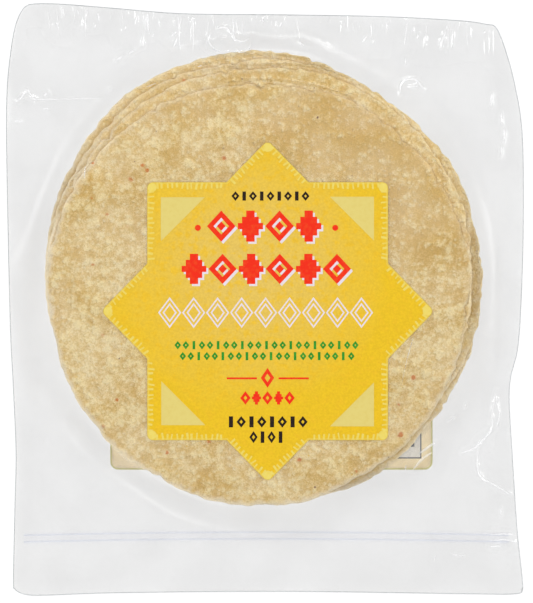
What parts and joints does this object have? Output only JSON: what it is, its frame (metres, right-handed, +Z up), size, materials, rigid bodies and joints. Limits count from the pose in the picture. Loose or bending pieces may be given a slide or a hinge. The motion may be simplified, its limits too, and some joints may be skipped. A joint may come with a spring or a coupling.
{
  "type": "corn tortilla stack",
  "caption": "Stack of round corn and wheat tortillas lying in a clear bag with a press zip, a star label on its front and a square label under its back.",
  "frame": {"origin": "on the surface that the pack lies on, under the middle of its bounding box", "axes": "+Z up out of the side with the star label, +Y towards the bag's top edge, away from the zip, +X to the right of the label as it is read"},
  "size_m": [0.2177, 0.2491, 0.0141],
  "materials": {
    "clear_film": "clear polythene film, thin, glossy and creased",
    "zip_plastic": "pale blue translucent press zip",
    "yellow_label": "satin film label, golden yellow",
    "cream_label": "matt cream label",
    "corn_tortilla": "matt griddled corn dough, mottled pale on tan"
  },
  "bodies": {
    "root": {"bag": "clear_film", "zip_strip": "zip_plastic", "star_label": "yellow_label", "back_label": "cream_label"}
  },
  "joints": []
}
